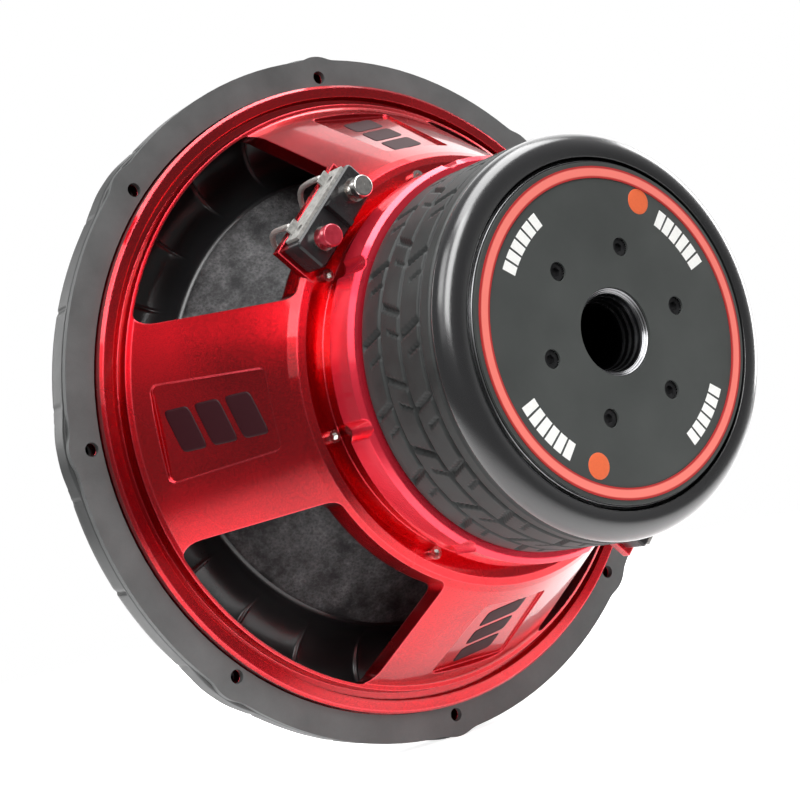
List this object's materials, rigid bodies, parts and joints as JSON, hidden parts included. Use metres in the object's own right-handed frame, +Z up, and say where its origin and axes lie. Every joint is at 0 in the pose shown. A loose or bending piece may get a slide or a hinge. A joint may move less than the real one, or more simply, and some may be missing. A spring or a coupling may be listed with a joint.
{
  "type": "car subwoofer speaker",
  "caption": "Round car subwoofer driver: red basket with windows, black half-roll surround and gasket, domed dust cap, rubber-booted motor, push terminals.",
  "frame": {"origin": "middle of the mounting plane, where the rear gasket seals on the baffle", "axes": "+Y along the driver's axis from the cone towards the motor, +Z up, +X to the left of a viewer behind the motor"},
  "size_m": [0.3168, 0.1882, 0.3168],
  "materials": {
    "basket_red": "glossy candy red coat over a stamped or cast metal frame",
    "gasket_rubber": "satin moulded rubber",
    "surround_rubber": "satin rubber half roll",
    "cone_pulp": "dark pressed paper pulp",
    "dust_cap_shell": "glossy dark composite",
    "dust_cap_badge": "satin dark moulding",
    "spider_cloth": "resin coated woven cloth",
    "spacer_plastic": "matte black moulding",
    "former_aluminium": "rolled aluminium foil",
    "coil_copper": "enamelled copper wire",
    "motor_steel": "turned steel, black zinc",
    "magnet_ferrite": "sintered ferrite",
    "sleeve_copper": "bright copper",
    "boot_rubber": "satin rubber with tread blocks",
    "label_plastic": "satin dark sheet",
    "label_red": "printed red ring",
    "screw_plated": "nickel plated",
    "screw_black": "black oxide",
    "terminal_plastic": "moulded black plastic",
    "terminal_plated": "nickel plated",
    "button_plated": "nickel plated",
    "button_red": "red anodised look",
    "lug_board": "fibre strip with tinned lugs",
    "spring_steel": "spring wire",
    "lead_braid": "braided tinsel wire"
  },
  "bodies": {
    "frame": {"back_plate": "motor_steel", "basket": "basket_red", "collar_screws": "screw_plated", "front_gasket": "gasket_rubber", "label_disc": "label_plastic", "label_ring": "label_red", "magnet_front": "magnet_ferrite", "magnet_rear": "magnet_ferrite", "motor_boot": "boot_rubber", "motor_screws": "screw_black", "pole_piece": "motor_steel", "pole_screws": "screw_black", "rear_gasket": "gasket_rubber", "shorting_sleeve": "sleeve_copper", "spider_clamp_ring": "spacer_plastic", "spider_front": "spider_cloth", "spider_rear": "spider_cloth", "spider_spacer": "spacer_plastic", "surround": "surround_rubber", "terminal_a_barrels": "terminal_plated", "terminal_a_black_spring": "spring_steel", "terminal_a_block": "terminal_plastic", "terminal_a_lug_strip": "lug_board", "terminal_a_red_spring": "spring_steel", "terminal_b_barrels": "terminal_plated", "terminal_b_black_spring": "spring_steel", "terminal_b_block": "terminal_plastic", "terminal_b_lug_strip": "lug_board", "terminal_b_red_spring": "spring_steel", "tinsel_lead_a_black": "lead_braid", "tinsel_lead_a_red": "lead_braid", "tinsel_lead_b_black": "lead_braid", "tinsel_lead_b_red": "lead_braid", "top_plate": "motor_steel"},
    "cone_assembly": {"cone": "cone_pulp", "dust_cap": "dust_cap_shell", "dust_cap_ring": "dust_cap_badge", "voice_coil_former": "former_aluminium", "voice_coil_inner_winding": "coil_copper", "voice_coil_outer_winding": "coil_copper"},
    "button_a_black": {"terminal_a_black_button": "button_plated"},
    "button_a_red": {"terminal_a_red_button": "button_red"},
    "button_b_black": {"terminal_b_black_button": "button_plated"},
    "button_b_red": {"terminal_b_red_button": "button_red"}
  },
  "joints": [
    {"name": "cone_travel", "type": "slide", "parent": "frame", "child": "cone_assembly", "axis": [0, 1, 0], "range_m": [-0.017, 0.017], "stiffness_N_per_m": 8900, "deforming": ["surround", "spider_front", "spider_rear", "tinsel_lead_a_black", "tinsel_lead_a_red", "tinsel_lead_b_black", "tinsel_lead_b_red"]},
    {"name": "press_a_black", "type": "slide", "parent": "frame", "child": "button_a_black", "axis": [0, -1, 0], "range_m": [0, 0.003], "stiffness_N_per_m": 600, "springref_m": -0.003, "deforming": ["terminal_a_black_spring"]},
    {"name": "press_a_red", "type": "slide", "parent": "frame", "child": "button_a_red", "axis": [0, -1, 0], "range_m": [0, 0.003], "stiffness_N_per_m": 600, "springref_m": -0.003, "deforming": ["terminal_a_red_spring"]},
    {"name": "press_b_black", "type": "slide", "parent": "frame", "child": "button_b_black", "axis": [0, -1, 0], "range_m": [0, 0.003], "stiffness_N_per_m": 600, "springref_m": -0.003, "deforming": ["terminal_b_black_spring"]},
    {"name": "press_b_red", "type": "slide", "parent": "frame", "child": "button_b_red", "axis": [0, -1, 0], "range_m": [0, 0.003], "stiffness_N_per_m": 600, "springref_m": -0.003, "deforming": ["terminal_b_red_spring"]}
  ]
}
